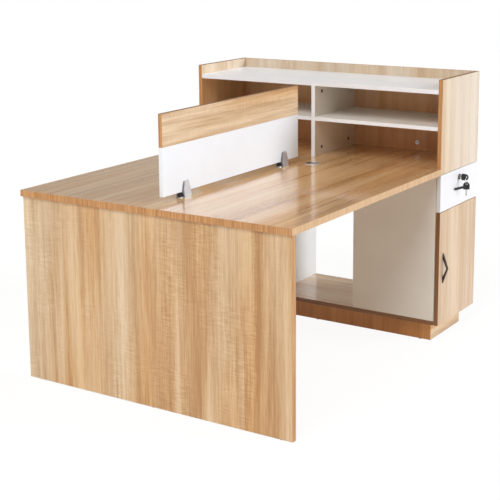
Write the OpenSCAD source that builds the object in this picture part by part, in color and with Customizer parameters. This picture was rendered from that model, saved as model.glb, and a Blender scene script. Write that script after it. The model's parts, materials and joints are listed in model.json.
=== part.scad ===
/* [Worktop and end panel] */
// Width of the desk, from one user's edge to the other user's edge
desk_w = 1200; // [1100:10:1500]
// Length of the worktop in front of the shelf unit
top_run = 1180; // [1120:10:1500]
// Height of the worktop's upper face above the floor
desk_h = 750; // [720:5:800]
// Thickness of the worktop
top_t = 25; // [18:1:38]
// Thickness of the end panel
end_t = 22; // [16:1:30]
// Overhang of the worktop beyond the end panel's face
end_front_inset = 10; // [2:1:40]
// Overhang of the worktop at each edge of the end panel
end_side_inset = 3; // [0:1:30]
// Height of the plastic glides under the end panel and the plinth
glide_h = 3; // [2:1:6]
// Diameter of the plastic glides
glide_d = 14; // [10:1:16]
// Distance of the outer glides from the ends of the boards that they carry
glide_edge = 50; // [30:5:120]

/* [Rails under the worktop] */
// Height of the centre rail
centre_rail_h = 120; // [80:5:150]
// Height of the cross rail between the pedestals
bay_rail_h = 100; // [60:5:150]
// Leg length of the steel angle brackets
bracket_leg = 32; // [25:1:50]
// Width of the steel angle brackets
bracket_w = 24; // [16:1:40]
// Thickness of the steel angle brackets
bracket_t = 2; // [1.5:0.5:3]
// Diameter of the screw holes in the brackets
bracket_hole_d = 5; // [4:0.5:6]

/* [Shelf unit] */
// Depth of the shelf unit and of the cabinet below it
cab_d = 380; // [340:10:450]
// Height of the shelf unit's rim above the floor
total_h = 1115; // [1060:5:1300]
// Thickness of the sides, shelves, doors and drawer fronts
board_t = 18; // [16:1:19]
// Thickness of the back panels
back_t = 15; // [12:1:18]
// Thickness of the middle shelves and of the cupboard shelves
mid_shelf_t = 16; // [12:1:20]
// Depth of the top shelf's face below the rim
shelf_drop = 41; // [10:1:80]
// Height of the middle shelves' upper face above the worktop
mid_shelf_rise = 172; // [120:1:190]
// Diameter of the connector cams
cam_d = 15; // [12:1:20]
// Depth of the connector cams in the board
cam_depth = 12; // [8:1:13]
// Height of the lower connector cams above the worktop
cam_low = 34; // [24:1:45]
// Distance of the upper connector cams below the top shelf
cam_high = 28; // [24:1:45]
// Distance of the divider's cams from its front and back edges
cam_to_edge = 60; // [40:1:90]
// Distance of the back panel's cams from the desk's centre line
cam_back_x = 322; // [60:1:480]

/* [Screen] */
// Length of the screen
screen_l = 946; // [700:10:960]
// Thickness of the screen boards
screen_t = 16; // [12:1:20]
// Distance of the screen from the worktop's near edge
screen_start = 92; // [60:1:110]
// Gap between the worktop and the screen
screen_lift = 21; // [19:1:40]
// Height of the white lower board
screen_lower_h = 180; // [120:5:250]
// Height of the wood upper board
screen_upper_h = 122; // [60:2:200]
// Diameter of the dowels between the two boards
dowel_d = 8; // [6:1:10]
// Length of the dowels between the two boards
dowel_l = 40; // [25:5:60]
// Distance from the screen's near end to the first clip
clip_near = 137; // [80:1:250]
// Distance from the screen's far end to the second clip
clip_far = 117; // [80:1:250]
// Width of a clip's jaw at its foot
jaw_w = 43; // [30:1:60]
// Width of a clip's jaw at its top
jaw_top_w = 28; // [16:1:40]
// Height of a clip
jaw_h = 62; // [45:1:90]
// Thickness of one side of a clip at its foot
jaw_t = 12; // [8:1:16]
// Thickness of one side of a clip at its top
jaw_top_t = 6; // [4:1:8]
// Thickness of a clip's foot plate
foot_t = 3; // [2:0.5:5]
// Width of a clip's foot plate
foot_w = 26; // [20:1:40]
// Diameter of the head of a clip's fixing screw
clip_head_d = 14; // [10:1:18]
// Height of the head of a clip's fixing screw
clip_head_h = 13; // [6:1:14]
// Diameter of the shank of a clip's fixing screw
clip_shank_d = 6; // [4:1:8]
// Length of the shank below the foot plate
clip_shank_l = 16; // [10:1:17]

/* [Cable grommets] */
// Distance of each grommet from the desk's centre line
grommet_x = 85; // [60:1:300]
// Distance of each grommet from the shelf unit's front
grommet_back = 150; // [80:1:250]
// Diameter of the hole in the worktop
grommet_hole_d = 60; // [50:1:80]
// Width of the flange round the hole
grommet_flange = 5; // [3:0.5:10]
// Thickness of the flange
grommet_flange_t = 2.5; // [1.5:0.5:4]
// Wall of the grommet's sleeve
grommet_wall = 1.5; // [1:0.5:3]
// Length of the grommet's sleeve below the worktop's face
grommet_sleeve = 17; // [12:1:18]
// Thickness of the cap
grommet_cap_t = 3; // [2:0.5:4]
// Width of the cable slot in the cap
cable_slot_w = 20; // [10:1:24]
// Clearance of the cap in its ring, and of the sleeve in the worktop
grommet_play = 0.4; // [0.3:0.1:0.8]

/* [Base cabinet] */
// Height of the underside of the bottom board above the floor
plinth_h = 84; // [60:1:120]
// Distance of the plinth from the cabinet's front and back
plinth_inset = 40; // [20:1:60]
// Distance of the plinth from the desk's outer edge
plinth_side_inset = 49; // [30:1:80]
// Width of each pedestal, with its door
ped_w = 400; // [350:5:450]
// Gap between the carcass and the closed doors and drawer fronts
front_gap = 2; // [2:0.5:4]
// Half of the gap between neighbouring fronts
reveal = 1.5; // [1:0.5:3]
// Height taken by the drawer front, with its gaps
drawer_zone_h = 157; // [145:1:200]
// Height of the cupboard shelf's upper face above the bottom board
cup_shelf_rise = 230; // [120:5:320]
// Distance of the cupboard shelf from the closed door
cup_shelf_setback = 30; // [25:5:80]
// Clearance round the cupboard shelf
cup_shelf_play = 1; // [0.5:0.5:2]
// Diameter of the shelf pins
pin_d = 5; // [4:1:6]
// Length of a shelf pin outside the board
pin_out = 8; // [5:1:12]
// Length of a shelf pin inside the board
pin_in = 8; // [6:1:9]
// Step between the rows of pin holes
pin_step = 32; // [24:4:48]

/* [Drawer] */
// Height of the drawer box's sides
box_h = 105; // [60:5:105]
// Thickness of the drawer box's sides and back
box_t = 12; // [10:1:16]
// Height of the drawer box above the deck
box_lift = 8; // [4:1:12]
// Thickness of the drawer's bottom panel
bottom_t = 5; // [3:1:8]
// Depth of the grooves that hold the bottom panel
groove = 6; // [4:1:8]
// Height of the grooves above the lower edge of the drawer's sides
groove_lift = 8; // [6:1:12]

/* [Drawer runners] */
// Room that a runner takes between carcass and drawer
runner_space = 12.7; // [12.5:0.1:14]
// Height of a runner
runner_h = 45; // [40:1:50]
// Thickness of the runner's steel
runner_steel = 1.2; // [1:0.1:1.4]
// Room for the balls between two members
ball_room = 4.3; // [4:0.1:4.5]
// Number of balls in a row
ball_count = 7; // [5:1:8]
// Distance between neighbouring balls of a row
ball_pitch = 22; // [14:1:24]
// Width of the lips along the members' flanges
runner_lip = 1.5; // [1:0.1:1.8]

/* [Lock and keys] */
// Distance of the lock's axis below the worktop's underside
lock_drop = 37; // [34:1:45]
// Diameter of the lock's housing
lock_d = 18; // [16:1:20]
// Diameter of the escutcheon
escutcheon_d = 25; // [23:1:32]
// Thickness of the escutcheon
escutcheon_t = 2.5; // [1.5:0.5:4]
// Diameter across the nut
nut_d = 22; // [21:1:24]
// Thickness of the nut
nut_t = 4; // [3:1:6]
// Diameter of the turning plug
plug_d = 12.9; // [11:0.1:13]
// Radial clearance of the plug in the housing
plug_play = 0.05; // [0.03:0.01:0.1]
// Width of the cam blade
cam_blade_w = 14; // [10:1:16]
// Thickness of the cam blade
cam_blade_t = 2; // [1.5:0.5:3]
// Gap between the cam blade and the rail that it locks behind
cam_gap = 1.2; // [0.8:0.1:2]
// Thickness of the rail that the cam locks behind
lock_rail_t = 15; // [12:1:16]
// Length of a key's bow
bow_l = 31; // [24:1:36]
// Width of a key's bow
bow_w = 27; // [20:1:30]
// Thickness of a key's bow
bow_t = 6; // [4:1:8]
// Width of a key's blade
blade_w = 8; // [6:0.5:8]
// Thickness of a key's blade
blade_t = 2; // [1.5:0.1:2.2]
// Length of a key's blade
blade_l = 28; // [22:1:32]
// Length of the blade that stays outside the lock
blade_out = 6.5; // [3:0.5:10]
// Distance between neighbouring cuts in a key's blade
key_cut_pitch = 3.5; // [3:0.1:4]
// Width of the slot in a bow
bow_slot_w = 4.5; // [4:0.5:6]
// Length of the slot in a bow
bow_slot_l = 11; // [8:1:14]
// Radius of the key ring, to the middle of its wire
ring_r = 12; // [11:1:16]
// Diameter of the key ring's wire
wire_d = 1.6; // [1.2:0.1:2]
// Length of the black tag on the key ring
tag_l = 56; // [36:1:60]
// Height of the black tag
tag_h = 10; // [6:1:12]
// Thickness of the black tag
tag_t = 3; // [2:0.5:4]

/* [Door] */
// Distance from the door's free edge to the handle
handle_edge = 40; // [25:1:80]
// Length of the handle
handle_l = 128; // [96:2:200]
// Projection of the handle's bend
handle_out = 23; // [18:1:40]
// Thickness of the handle's bar at its bend
handle_bar = 5.5; // [4:0.5:8]
// Width of the handle's bar
handle_w = 10; // [6:1:14]
// Length of each foot of the handle
handle_foot = 29; // [15:1:40]
// Distance of the hinges from the door's upper and lower edges
hinge_edge = 90; // [60:5:120]
// Diameter of a hinge's cup
cup_d = 35; // [26:1:35]
// Depth of a hinge's cup
cup_depth = 11.5; // [9:0.5:12]
// Distance from the door's hinged edge to the cup's rim
cup_rim = 3; // [3:0.5:6]
// Thickness of the cup's flange
cup_flange_t = 1; // [0.8:0.1:1.2]
// Diameter of the hinge's two pins
hinge_pin_d = 3; // [2.5:0.1:3]
// Radial clearance of the pins in the link
pin_play = 0.05; // [0.03:0.01:0.1]
// Distance between the two pins of the link
link_l = 16; // [15:0.5:17]
// Thickness of the link's arc
link_w = 4; // [3:0.5:4]
// Bulge of the link's arc towards the cup
link_bulge = 5; // [4:0.5:5]
// Width of the link along the pins
link_h = 8; // [6:0.5:9]

/* [Hidden] */
$fn = 64;

wood = "#d8b282";
white = "#efeff2";
steel = "#b9bcc2";
black = "#17171a";

// Small overshoot of a cut beyond the face that it opens
cut = 1;

// Planes of the whole desk
half_w = desk_w / 2;
total_l = top_run + cab_d;
y_near = -total_l / 2;
y_cab = y_near + top_run;
y_back = y_cab + cab_d;
under_z = desk_h - top_t;
y_mid = (y_cab + y_back) / 2;
hutch_in_x = half_w - board_t;
back_in_y = y_back - back_t;
shelf_z = total_h - shelf_drop;
mid_shelf_z = desk_h + mid_shelf_rise;

// Planes of the base cabinet
floor_z = plinth_h + board_t;
front_in_x = half_w - board_t;
carcass_x = front_in_x - front_gap;
ped_x = half_w - ped_w;
ped_in_x = ped_x + board_t;
wall_near = y_cab + board_t;
wall_far = back_in_y;
split_z = under_z - drawer_zone_h;
deck_top = split_z + board_t / 2;
deck_low = deck_top - board_t;
cup_shelf_z = floor_z + cup_shelf_rise;

// Grommets
grommet_y = y_cab - grommet_back;
sleeve_r = grommet_hole_d / 2 - grommet_play / 2;
sleeve_in_r = sleeve_r - grommet_wall;
lip_t = 2;
lip_in = 3;
cap_gap = 0.3;
cap_r = sleeve_in_r - grommet_play;

// Screen and clips
screen_y0 = y_near + screen_start;
screen_y1 = screen_y0 + screen_l;
screen_z0 = desk_h + screen_lift;
screen_z1 = screen_z0 + screen_lower_h;
clip_ys = [screen_y0 + clip_near, screen_y1 - clip_far];
head_gap = 1;
foot_tip = 4;
foot_reach = jaw_w / 2 + head_gap + clip_head_d + foot_tip;

// Runners
box_z = deck_top + box_lift;
runner_z = box_z + box_h / 2;
runner_end_gap = 3;
runner_step = 50;
runner_room = carcass_x - ped_in_x - 2 * runner_end_gap;
runner_l = runner_step * floor(runner_room / runner_step);
runner_x1 = carcass_x - runner_end_gap;
runner_x0 = runner_x1 - runner_l;
cab_in_h = runner_h / 2 - runner_steel;
mid_out_h = cab_in_h - ball_room;
mid_in_h = mid_out_h - runner_steel;
inner_out_h = mid_in_h - ball_room;
web_gap = 0.6;
lip_short = 3.2;
cab_s1 = runner_space - lip_short;
mid_s0 = runner_steel + web_gap;
mid_s1 = runner_space - runner_steel - web_gap;
inner_s0 = 2 * runner_steel + 2 * web_gap;

// Rows of balls: the outer ones run in the cabinet member, the inner ones on the drawer's member
ball_gap = 0.3;
ball_seat = 0.1;
ball_d = ball_room - ball_gap + ball_seat;
outer_ball_s = (mid_s0 + cab_s1 - runner_steel) / 2;
outer_ball_z = mid_out_h + ball_d / 2 - ball_seat;
inner_ball_s = (inner_s0 + runner_steel + mid_s1 - runner_steel) / 2;
inner_ball_z = mid_in_h - ball_d / 2 + ball_seat;
ball_end = 15;
cage_t = 0.6;
cage_side = 0.2;
cage_end = 5;

// Drawer box
box_len = runner_l;
box_y0 = wall_near + runner_space;
box_y1 = wall_far - runner_space;
box_x0 = front_in_x - box_len;
bottom_z = box_z + groove_lift;

// Lock
lock_z = under_z - lock_drop;
nut_clear = 3;
lock_rail_h = lock_drop - nut_d / 2 - nut_clear;
cam_x1 = carcass_x - lock_rail_t - cam_gap;
cam_x0 = cam_x1 - cam_blade_t;
cam_clear = 6;
cam_reach = lock_drop - cam_clear;
housing_x0 = cam_x1 + cam_gap;
face_x = half_w + escutcheon_t;
plug_proud = 0.6;
plug_x1 = face_x + plug_proud;
key_play = 0.15;
keyway_l = blade_l;
keyway_h = blade_w + 2 * key_play;
keyway_w = blade_t + 2 * key_play;
key_cuts = [1.1, 0.5, 1.5, 0.8, 1.3];
key_cut_flat = 1;

// Keys
bow_x0 = plug_x1 + blade_out;
bow_end = 8;
slot_x = bow_x0 + bow_l - bow_end;
ring_play = 0.3;
ring_in = ring_r - wire_d / 2;
ring_dip = ring_in - sqrt(ring_in * ring_in - bow_t * bow_t / 4);
ring_z = lock_z - bow_slot_l / 2 + ring_play + ring_dip + wire_d / 2;
ring_mid_z = ring_z - ring_r;
spare_turn = 25;
spare_half_t = bow_t / 2 / cos(spare_turn) + wire_d / 2 * tan(spare_turn);
spare_hook_z = ring_mid_z - sqrt(ring_in * ring_in - spare_half_t * spare_half_t) + ring_play;
spare_top_z = spare_hook_z - bow_slot_w / 2 + bow_end;

// Tag
tag_face_gap = 1;
tag_lean = asin((slot_x - half_w - tag_face_gap - tag_t / 2) / tag_l);
tag_tilt = 6.5;
tag_eye_d = 10;
tag_hole_d = 5.6;
tag_eye_y = -7.5;
tag_eye_z = ring_mid_z - sqrt(ring_r * ring_r - tag_eye_y * tag_eye_y);
tag_neck = 2.5;

// Door
door_z0 = plinth_h;
door_z1 = split_z - reveal;
door_y0 = y_cab + reveal / 2;
door_y1 = y_back - reveal / 2;
door_mid_z = (door_z0 + door_z1) / 2;
hinge_zs = [door_z0 + hinge_edge, door_z1 - hinge_edge];
cup_y = door_y1 - cup_rim - cup_d / 2;
cup_wall = 1;
cup_pin_depth = 4;
cup_pin_to_wall = 4.5;
cup_pin_x = front_in_x + cup_pin_depth;
cup_pin_y = cup_y + cup_d / 2 - cup_wall - cup_pin_to_wall;
link_angle = 80;
arm_pin_x = cup_pin_x - link_l * cos(link_angle);
arm_pin_y = cup_pin_y - link_l * sin(link_angle);
link_eye_r = 3;
ear_gap = 0.4;
ear_t = 2;
plate_t = 2;

// Cupboard shelf
shelf_x0 = ped_in_x + cup_shelf_play;
shelf_x1 = front_in_x - cup_shelf_setback;
pin_edge = 37;
pin_xs = [shelf_x0 + pin_edge, shelf_x1 - pin_edge];
pin_z = cup_shelf_z - mid_shelf_t - pin_d / 2;

// Caps over the connector cams
cap_lip = 2;

// Repeats its children on one user's side, where -1 is the mirrored side
module side(s) {
    if (s > 0) children();
    else mirror([1, 0, 0]) children();
}

// Repeats its children on both users' sides
module both_sides() {
    children();
    mirror([1, 0, 0]) children();
}

// A board between two opposite corners
module board(low, high) {
    translate(low) cube(high - low);
}

// Extrudes a profile drawn in Y and Z along +X
module along_x(len) {
    rotate([90, 0, 90]) linear_extrude(len) children();
}

// Extrudes a profile drawn in X and Z along Y, centred
module along_y(len) {
    rotate([90, 0, 0]) linear_extrude(len, center = true) children();
}

// A cylinder along +X
module rod_x(d, len) {
    rotate([0, 90, 0]) cylinder(d = d, h = len);
}

// A cylinder along +Y
module rod_y(d, len) {
    rotate([-90, 0, 0]) cylinder(d = d, h = len);
}

// A slot outline with round ends, centred, long in X
module slot_outline(len, w) {
    square([len - w, w], center = true);
    for (e = [-1, 1]) translate([e * (len - w) / 2, 0]) circle(d = w);
}

module worktop() color(wood) {
    difference() {
        translate([0, 0, under_z]) linear_extrude(top_t) polygon([
            [-half_w, y_near], [half_w, y_near], [half_w, y_cab], [hutch_in_x, y_cab],
            [hutch_in_x, back_in_y], [-hutch_in_x, back_in_y], [-hutch_in_x, y_cab],
            [-half_w, y_cab]]);
        for (s = [-1, 1]) translate([s * grommet_x, grommet_y, under_z - cut])
            cylinder(d = grommet_hole_d, h = top_t + 2 * cut);
        for (y = clip_ys) translate([0, clip_screw_y(y), desk_h - clip_shank_l])
            cylinder(d = clip_shank_d, h = clip_shank_l + cut);
    }
}

module end_panel() color(wood) {
    y0 = y_near + end_front_inset;
    edge = half_w - end_side_inset;
    board([-edge, y0, glide_h], [edge, y0 + end_t, under_z]);
}

module centre_rail() color(wood) {
    board([-board_t / 2, y_near + end_front_inset + end_t, under_z - centre_rail_h],
        [board_t / 2, wall_near, under_z]);
}

module bay_rail() color(wood) {
    board([-ped_x, wall_near, under_z - bay_rail_h], [ped_x, wall_near + board_t, under_z]);
}

// One steel angle with its corner at the origin, legs along +Y and -Z
module angle_bracket() {
    hole_at = bracket_leg * 0.6;
    difference() {
        translate([-bracket_w / 2, 0, 0]) along_x(bracket_w) polygon([
            [0, 0], [0, -bracket_leg], [bracket_t, -bracket_leg],
            [bracket_t, -bracket_t], [bracket_leg, -bracket_t], [bracket_leg, 0]]);
        translate([0, -cut, -hole_at]) rod_y(bracket_hole_d, bracket_t + 2 * cut);
        translate([0, hole_at, -bracket_t - cut]) cylinder(d = bracket_hole_d, h = bracket_t + 2 * cut);
    }
}

module angle_brackets() color(steel) {
    y_in = y_near + end_front_inset + end_t;
    spots = 4;
    pitch = (desk_w - 2 * end_side_inset) / spots;
    for (i = [0 : spots - 1])
        translate([(i - (spots - 1) / 2) * pitch, y_in, under_z]) angle_bracket();
    for (s = [-1, 1]) translate([s * ped_x / 2, wall_near, under_z])
        rotate([0, 0, 180]) angle_bracket();
}

module hutch_sides() color(wood) {
    both_sides() board([hutch_in_x, y_cab, under_z], [half_w, y_back, total_h]);
}

module hutch_back() color(wood) {
    difference() {
        board([-hutch_in_x, back_in_y, under_z], [hutch_in_x, y_back, total_h]);
        back_cam_spots() rod_y(cam_d, cam_depth + cut);
    }
}

module top_shelf() color(white) {
    board([-hutch_in_x, y_cab, shelf_z - board_t], [hutch_in_x, back_in_y, shelf_z]);
}

module hutch_divider() color(white) {
    difference() {
        board([-board_t / 2, y_cab, desk_h], [board_t / 2, back_in_y, shelf_z - board_t]);
        divider_cam_spots() rod_x(cam_d, cam_depth + cut);
    }
}

module mid_shelves() color(white) {
    both_sides() board([board_t / 2, y_cab, mid_shelf_z - mid_shelf_t], [hutch_in_x, back_in_y, mid_shelf_z]);
}

// Places the cams of the divider, each at the bottom of its bore
module divider_cam_spots() {
    for (y = [y_cab + cam_to_edge, back_in_y - cam_to_edge])
        for (z = [desk_h + cam_low, shelf_z - board_t - cam_high])
            translate([board_t / 2 - cam_depth, y, z]) children();
}

// Places the cams of the back panel, each at the mouth of its bore
module back_cam_spots() {
    for (s = [-1, 1])
        translate([s * cam_back_x, back_in_y - cut, desk_h + cam_low]) children();
}

// A cam body with a cross slot in the face at z = h
module cam_body(h) {
    slot_l = cam_d * 0.6;
    slot_w = 2.5;
    slot_depth = 2;
    difference() {
        cylinder(d = cam_d, h = h);
        for (a = [0, 90]) rotate([0, 0, a])
            translate([-slot_l / 2, -slot_w / 2, h - slot_depth]) cube([slot_l, slot_w, slot_depth + cut]);
    }
}

module connector_cams() color(steel) {
    divider_cam_spots() rotate([0, 90, 0]) cam_body(cam_depth);
    back_cam_spots() translate([0, cut + cap_lip, 0]) rotate([-90, 0, 0])
        cylinder(d = cam_d, h = cam_depth - cap_lip);
}

module cam_caps() color(white) {
    cap_d = cam_d + 2;
    cap_face = 0.8;
    back_cam_spots() translate([0, cut - cap_face, 0]) union() {
        rod_y(cap_d, cap_face);
        rod_y(cam_d, cap_face + cap_lip);
    }
}

// Places the dowels along the joint between the two screen boards
module dowel_spots() {
    count = 4;
    pitch = screen_l / count;
    for (i = [0 : count - 1])
        translate([0, screen_y0 + (i + 0.5) * pitch, screen_z1 - dowel_l / 2]) children();
}

module screen_lower() color(white) {
    difference() {
        board([-screen_t / 2, screen_y0, screen_z0], [screen_t / 2, screen_y1, screen_z1]);
        dowel_spots() cylinder(d = dowel_d, h = dowel_l);
    }
}

module screen_upper() color(wood) {
    difference() {
        board([-screen_t / 2, screen_y0, screen_z1],
            [screen_t / 2, screen_y1, screen_z1 + screen_upper_h]);
        dowel_spots() cylinder(d = dowel_d, h = dowel_l);
    }
}

module screen_dowels() color("burlywood") {
    dowel_spots() cylinder(d = dowel_d, h = dowel_l);
}

// Place of a clip's fixing screw for a clip at y
function clip_screw_y(y) = y - jaw_w / 2 - head_gap - clip_head_d / 2;

// One clip at the origin: block under the screen, two tapered jaws and a foot plate
module screen_clip() {
    half = screen_t / 2;
    corner_r = jaw_top_w / 4;
    corner_z = jaw_h - corner_r;
    foot_z = jaw_h * 0.2;
    swell_z = jaw_h * 0.55;
    swell_y = jaw_w * 0.45;
    difference() {
        intersection() {
            along_y(jaw_w) polygon([
                [-half - jaw_t, 0], [half + jaw_t, 0], [half + jaw_top_t, jaw_h],
                [-half - jaw_top_t, jaw_h]]);
            translate([-half - jaw_t, 0, 0]) along_x(2 * (half + jaw_t)) {
                polygon([
                    [-jaw_w / 2, 0], [jaw_w / 2, 0], [jaw_w / 2, foot_z],
                    [swell_y, swell_z], [jaw_top_w / 2, corner_z],
                    [corner_r, jaw_h], [-corner_r, jaw_h], [-jaw_top_w / 2, corner_z],
                    [-swell_y, swell_z], [-jaw_w / 2, foot_z]]);
                for (e = [-1, 1]) translate([e * corner_r, corner_z]) circle(r = corner_r);
            }
        }
        translate([-half, -jaw_w / 2 - cut, screen_lift]) cube([screen_t, jaw_w + 2 * cut, jaw_h]);
    }
    difference() {
        union() {
            translate([-foot_w / 2, -foot_reach + foot_w / 2, 0])
                cube([foot_w, foot_reach - foot_w / 2, foot_t]);
            translate([0, -foot_reach + foot_w / 2, 0]) cylinder(d = foot_w, h = foot_t);
        }
        translate([0, clip_screw_y(0), -cut]) cylinder(d = clip_shank_d, h = foot_t + 2 * cut);
    }
}

module screen_clips() color(steel) {
    for (y = clip_ys) translate([0, y, desk_h]) screen_clip();
}

module clip_screws() color(black) {
    socket_d = clip_head_d * 0.45;
    socket_z = foot_t + clip_head_h / 2;
    for (y = clip_ys) translate([0, clip_screw_y(y), desk_h]) difference() {
        union() {
            translate([0, 0, foot_t]) cylinder(d = clip_head_d, h = clip_head_h);
            translate([0, 0, -clip_shank_l]) cylinder(d = clip_shank_d, h = clip_shank_l + foot_t);
        }
        translate([0, 0, socket_z]) cylinder(d = socket_d, h = clip_head_h, $fn = 6);
    }
}

module grommet_rings() color(steel) {
    flange_r = grommet_hole_d / 2 + grommet_flange;
    rim = 1;
    for (s = [-1, 1]) translate([s * grommet_x, grommet_y, desk_h]) rotate_extrude() polygon([
        [sleeve_in_r, grommet_flange_t],
        [sleeve_in_r, -grommet_cap_t],
        [sleeve_in_r - lip_in, -grommet_cap_t],
        [sleeve_in_r - lip_in, -grommet_cap_t - lip_t],
        [sleeve_in_r, -grommet_cap_t - lip_t],
        [sleeve_in_r, -grommet_sleeve],
        [sleeve_r, -grommet_sleeve],
        [sleeve_r, 0],
        [flange_r, 0],
        [flange_r - rim, rim],
        [grommet_hole_d / 2 + rim, grommet_flange_t]]);
}

// The cap has a round-ended slot from its edge and a low finger grip
module grommet_cap(s) side(s) color(steel) {
    top = grommet_flange_t;
    step_z = 1;
    step_in = 2;
    slot_depth = cap_r * 0.55;
    grip_l = cap_r * 0.9;
    grip_w = 6;
    translate([grommet_x, grommet_y, desk_h]) difference() {
        union() {
            translate([0, 0, cap_gap - grommet_cap_t])
                cylinder(r = cap_r, h = grommet_cap_t - cap_gap + top - step_z);
            translate([0, 0, top - step_z]) cylinder(r = cap_r - step_in, h = step_z);
        }
        translate([0, cap_r - slot_depth, -grommet_cap_t - cut]) {
            cylinder(d = cable_slot_w, h = grommet_cap_t + top + 2 * cut);
            translate([-cable_slot_w / 2, 0, 0])
                cube([cable_slot_w, cap_r, grommet_cap_t + top + 2 * cut]);
        }
        translate([0, -grip_l / 2, top - step_z]) linear_extrude(step_z + cut) slot_outline(grip_l, grip_w);
    }
}

module plinth_boards() color(wood) {
    edge = half_w - plinth_side_inset;
    for (y = [y_cab + plinth_inset, y_back - plinth_inset - board_t])
        board([-edge, y, glide_h], [edge, y + board_t, plinth_h]);
    for (x = [-edge, edge - board_t])
        board([x, y_cab + plinth_inset + board_t, glide_h],
            [x + board_t, y_back - plinth_inset - board_t, plinth_h]);
}

module glides() color(black) {
    end_y = y_near + end_front_inset + end_t / 2;
    end_edge = half_w - end_side_inset - glide_edge;
    for (x = [-end_edge, 0, end_edge]) translate([x, end_y, 0]) cylinder(d = glide_d, h = glide_h);
    edge = half_w - plinth_side_inset - glide_edge;
    for (x = [-edge, 0, edge])
        for (y = [y_cab + plinth_inset + board_t / 2, y_back - plinth_inset - board_t / 2])
            translate([x, y, 0]) cylinder(d = glide_d, h = glide_h);
}

module bottom_board() color(wood) {
    board([-carcass_x, y_cab, plinth_h], [carcass_x, y_back, floor_z]);
}

// Places the holes for the shelf pins on the two walls of a pedestal
module pin_holes() {
    for (x = pin_xs) for (k = [-1 : 1]) translate([x, 0, pin_z + k * pin_step]) {
        translate([0, wall_near - pin_in, 0]) rod_y(pin_d, pin_in + cut);
        translate([0, wall_far - cut, 0]) rod_y(pin_d, pin_in + cut);
    }
}

module pedestal_fronts() color(white) {
    both_sides() difference() {
        board([ped_x, y_cab, floor_z], [carcass_x, wall_near, under_z]);
        pin_holes();
    }
}

module pedestal_inner_sides() color(white) {
    both_sides() board([ped_x, wall_near, floor_z], [ped_in_x, wall_far, under_z]);
}

module pedestal_backs() color(white) {
    both_sides() difference() {
        board([ped_x, wall_far, floor_z], [carcass_x, y_back, under_z]);
        pin_holes();
    }
}

module drawer_decks() color(white) {
    both_sides() board([ped_in_x, wall_near, deck_low], [carcass_x, wall_far, deck_top]);
}

module lock_rails() color(white) {
    both_sides() board([carcass_x - lock_rail_t, wall_near, under_z - lock_rail_h],
        [carcass_x, wall_far, under_z]);
}

module cupboard_shelves() color(white) {
    both_sides() board([shelf_x0, wall_near + cup_shelf_play, cup_shelf_z - mid_shelf_t],
        [shelf_x1, wall_far - cup_shelf_play, cup_shelf_z]);
}

module shelf_pins() color(steel) {
    both_sides() for (x = pin_xs) translate([x, 0, pin_z]) {
        translate([0, wall_near - pin_in, 0]) rod_y(pin_d, pin_in + pin_out);
        translate([0, wall_far - pin_out, 0]) rod_y(pin_d, pin_in + pin_out);
    }
}

// Repeats a runner at both walls of a pedestal, drawn from the wall at y = 0
module runner_pair() {
    translate([0, wall_near, runner_z]) children();
    translate([0, wall_far, runner_z]) mirror([0, 1, 0]) children();
}

// Channel profile: back from s0 to s0 + steel, flanges out to s1, half height h.
// A lip along each flange's edge ends at the height lip_z, inside or outside the flange.
module channel(s0, s1, h, lip_z) {
    t = runner_steel;
    half = lip_z < h
        ? [[s0, h], [s1, h], [s1, lip_z], [s1 - t, lip_z], [s1 - t, h - t], [s0 + t, h - t]]
        : [[s0, h], [s1 - t, h], [s1 - t, lip_z], [s1, lip_z], [s1, h - t], [s0 + t, h - t]];
    polygon(concat(half, [for (i = [len(half) - 1 : -1 : 0]) [half[i].x, -half[i].y]]));
}

// A row of balls along +X in the strip that spaces them, the first ball at the origin
module ball_row() {
    cage_w = ball_d + 2 * cage_side;
    for (i = [0 : ball_count - 1]) translate([i * ball_pitch, 0, 0]) sphere(d = ball_d, $fn = 16);
    translate([-cage_end, -cage_w / 2, -cage_t / 2])
        cube([(ball_count - 1) * ball_pitch + 2 * cage_end, cage_w, cage_t]);
}

module runner_cabinet_members() color(steel) {
    both_sides() runner_pair() translate([runner_x0, 0, 0])
        along_x(runner_l) channel(0, cab_s1, runner_h / 2, cab_in_h - runner_lip);
}

// The outer rows of balls sit at the back of the middle member, the inner rows at its front
module runner_middle(s) side(s) color(steel) {
    runner_pair() translate([runner_x0, 0, 0]) {
        along_x(runner_l) channel(mid_s0, mid_s1, mid_out_h, mid_in_h - runner_lip);
        for (m = [0, 1]) mirror([0, 0, m]) {
            translate([ball_end, outer_ball_s, outer_ball_z]) ball_row();
            translate([runner_l - ball_end, inner_ball_s, inner_ball_z]) mirror([1, 0, 0]) ball_row();
        }
    }
}

module runner_inner(s) side(s) color(steel) {
    runner_pair() translate([runner_x0, runner_space, 0]) mirror([0, 1, 0])
        along_x(runner_l) channel(0, runner_space - inner_s0, inner_out_h, inner_out_h + runner_lip);
}

module drawer_front(s) side(s) color(white) {
    difference() {
        board([front_in_x, door_y0, split_z + reveal], [half_w, door_y1, under_z - reveal]);
        translate([front_in_x - cut, y_mid, lock_z]) rod_x(lock_d, board_t + 2 * cut);
        translate([front_in_x - cut, box_y0 + box_t - groove, bottom_z])
            cube([groove + cut, box_y1 - box_y0 - 2 * (box_t - groove), bottom_t]);
    }
}

module drawer_box(s) side(s) color(white) {
    for (y = [box_y0, box_y1 - box_t]) difference() {
        board([box_x0, y, box_z], [front_in_x, y + box_t, box_z + box_h]);
        board([box_x0 - cut, box_y0 + box_t - groove, bottom_z],
            [front_in_x + cut, box_y1 - box_t + groove, bottom_z + bottom_t]);
    }
    board([box_x0, box_y0 + box_t, bottom_z + bottom_t],
        [box_x0 + box_t, box_y1 - box_t, box_z + box_h]);
}

module drawer_bottom(s) side(s) color("wheat") {
    board([box_x0, box_y0 + box_t - groove, bottom_z],
        [front_in_x + groove, box_y1 - box_t + groove, bottom_z + bottom_t]);
}

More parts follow.
